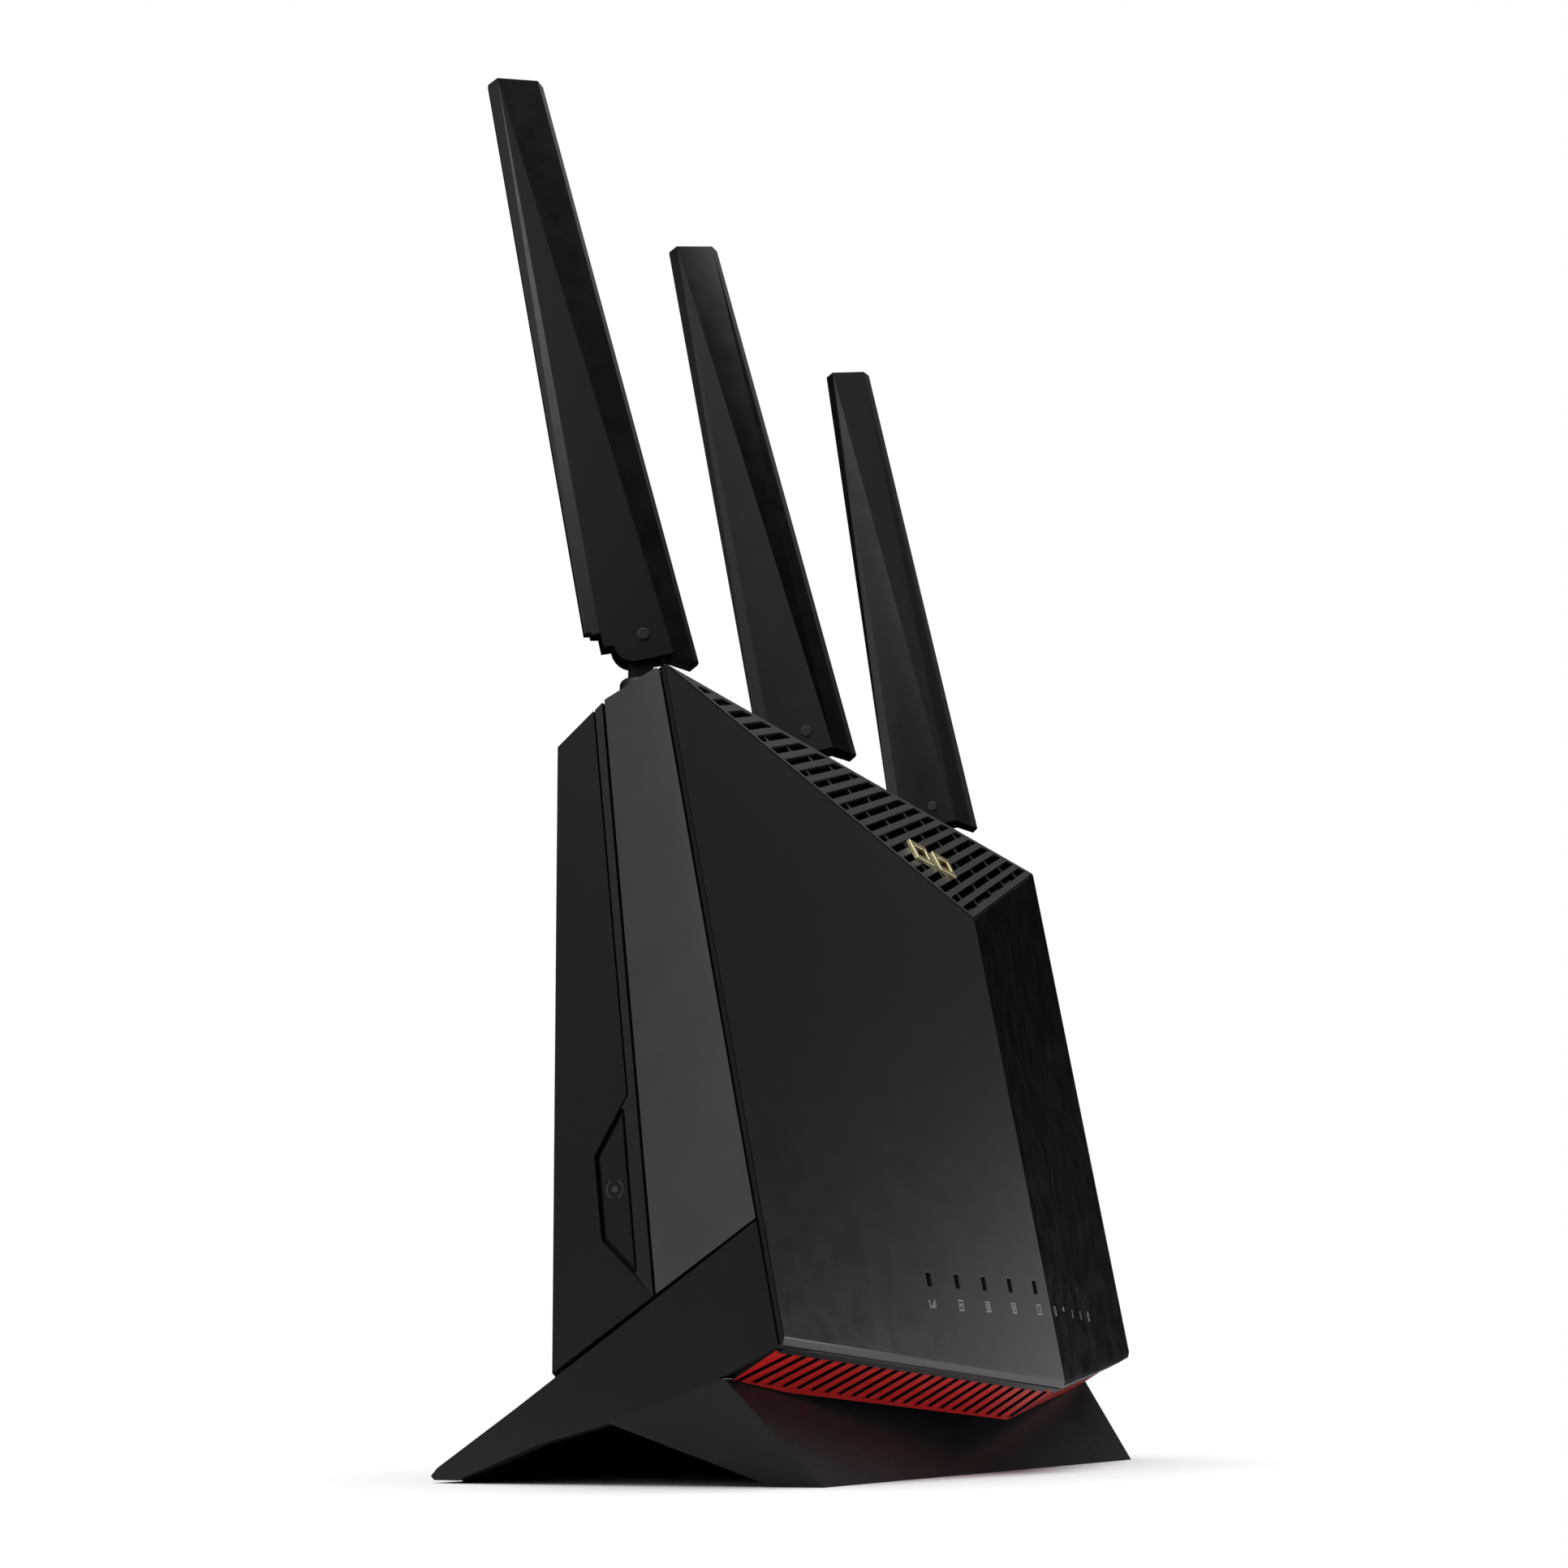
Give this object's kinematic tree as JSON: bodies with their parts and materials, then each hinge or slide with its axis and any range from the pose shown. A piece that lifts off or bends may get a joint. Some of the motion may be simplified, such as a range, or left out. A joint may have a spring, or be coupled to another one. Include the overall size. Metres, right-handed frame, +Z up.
{
  "type": "wireless router",
  "caption": "Faceted upright wireless router with swivelling, tilting blade antennas, a winged stand, vent grilles, sockets and push buttons.",
  "frame": {"origin": "on the floor plane under the middle of the whole router", "axes": "+X to the right seen from the front, +Y to the back, +Z up"},
  "size_m": [0.242, 0.1, 0.3242],
  "materials": {
    "panel_plastic": "fine satin texture, near black",
    "cover_plastic": "matte fine texture, charcoal black",
    "trim_plastic": "smooth satin, black",
    "grille_plastic": "matte, dark grey",
    "gold_trim": "satin pale gold plating",
    "red_plastic": "satin deep red",
    "stand_plastic": "matte fine texture, black",
    "foot_rubber": "matte black rubber",
    "screw_steel": "zinc plated",
    "clear_plastic": "clear diffusing",
    "board": "green solder mask",
    "heat_sink_metal": "bead blasted",
    "thermal_pad": "soft pad",
    "tinned_steel": "tinned",
    "capacitor_sleeve": "printed sleeve",
    "jack_metal": "nickel plated",
    "socket_plastic": "matte black",
    "spring_steel": "bright wire",
    "copper_board": "copper on board",
    "lead_jacket": "black jacket",
    "button_plastic": "satin black",
    "hinge_plastic": "matte black",
    "pin_metal": "dark dome head",
    "blade_plastic": "matte fine texture, black"
  },
  "bodies": {
    "housing": {"front_panel": "panel_plastic", "front_cover": "cover_plastic", "rear_cover": "cover_plastic", "side_trim_left": "trim_plastic", "side_trim_right": "trim_plastic", "port_plate": "cover_plastic", "top_grille": "grille_plastic", "top_badge": "gold_trim", "bottom_grille": "red_plastic", "stand": "stand_plastic", "front_foot_pads": "foot_rubber", "rear_foot_pad": "foot_rubber", "stand_screws": "screw_steel", "case_screws": "screw_steel", "light_guide": "clear_plastic", "led_board": "board", "main_board": "board", "board_screws": "screw_steel", "heat_sink": "heat_sink_metal", "thermal_pads": "thermal_pad", "shield_cans": "tinned_steel", "capacitors": "capacitor_sleeve", "network_jacks": "jack_metal", "usb_jacks": "jack_metal", "dc_jack": "socket_plastic", "power_switch": "socket_plastic", "reset_switch": "socket_plastic", "side_switch": "socket_plastic", "power_spring": "spring_steel", "reset_spring": "spring_steel", "side_spring": "spring_steel", "internal_antenna": "copper_board", "antenna_leads": "lead_jacket"},
    "power_key": {"power_button": "button_plastic"},
    "reset_key": {"reset_button": "button_plastic"},
    "side_key": {"side_button": "button_plastic"},
    "left_base": {"left_swivel": "hinge_plastic", "left_clip": "spring_steel"},
    "left_blade": {"left_pin": "pin_metal", "left_blade_front": "blade_plastic", "left_blade_back": "blade_plastic", "left_radiator": "copper_board"},
    "middle_base": {"middle_swivel": "hinge_plastic", "middle_clip": "spring_steel"},
    "middle_blade": {"middle_pin": "pin_metal", "middle_blade_front": "blade_plastic", "middle_blade_back": "blade_plastic", "middle_radiator": "copper_board"},
    "right_base": {"right_swivel": "hinge_plastic", "right_clip": "spring_steel"},
    "right_blade": {"right_pin": "pin_metal", "right_blade_front": "blade_plastic", "right_blade_back": "blade_plastic", "right_radiator": "copper_board"}
  },
  "joints": [
    {"name": "left_turn", "type": "hinge", "parent": "housing", "child": "left_base", "pos_m": [-0.0925, 0.0163, 0.165], "axis": [0, 0, -1], "range_deg": [-56.4, 123.6]},
    {"name": "left_tilt", "type": "hinge", "parent": "left_base", "child": "left_blade", "pos_m": [-0.0925, 0.0163, 0.1849], "axis": [-0.8329, -0.5534, 0], "range_deg": [-13.1, 56.9]},
    {"name": "middle_turn", "type": "hinge", "parent": "housing", "child": "middle_base", "pos_m": [0, 0.0163, 0.165], "axis": [0, 0, -1], "range_deg": [-64, 116]},
    {"name": "middle_tilt", "type": "hinge", "parent": "middle_base", "child": "middle_blade", "pos_m": [0, 0.0163, 0.1849], "axis": [-0.8988, -0.4384, 0], "range_deg": [-12.5, 57.5]},
    {"name": "right_turn", "type": "hinge", "parent": "housing", "child": "right_base", "pos_m": [0.0925, 0.0163, 0.165], "axis": [0, 0, -1], "range_deg": [-73, 107]},
    {"name": "right_tilt", "type": "hinge", "parent": "right_base", "child": "right_blade", "pos_m": [0.0925, 0.0163, 0.1849], "axis": [-0.9563, -0.2924, 0], "range_deg": [-9.9, 60.1]},
    {"name": "power_press", "type": "slide", "parent": "housing", "child": "power_key", "axis": [0, -1, 0], "range_m": [0, 0.001], "stiffness_N_per_m": 600, "springref_m": -0.001, "deforming": ["power_spring"]},
    {"name": "reset_press", "type": "slide", "parent": "housing", "child": "reset_key", "axis": [0, -1, 0], "range_m": [0, 0.0005], "stiffness_N_per_m": 600, "springref_m": -0.00067, "deforming": ["reset_spring"]},
    {"name": "side_press", "type": "slide", "parent": "housing", "child": "side_key", "axis": [1, 0, 0], "range_m": [0, 0.001], "stiffness_N_per_m": 600, "springref_m": -0.00133, "deforming": ["side_spring"]}
  ]
}
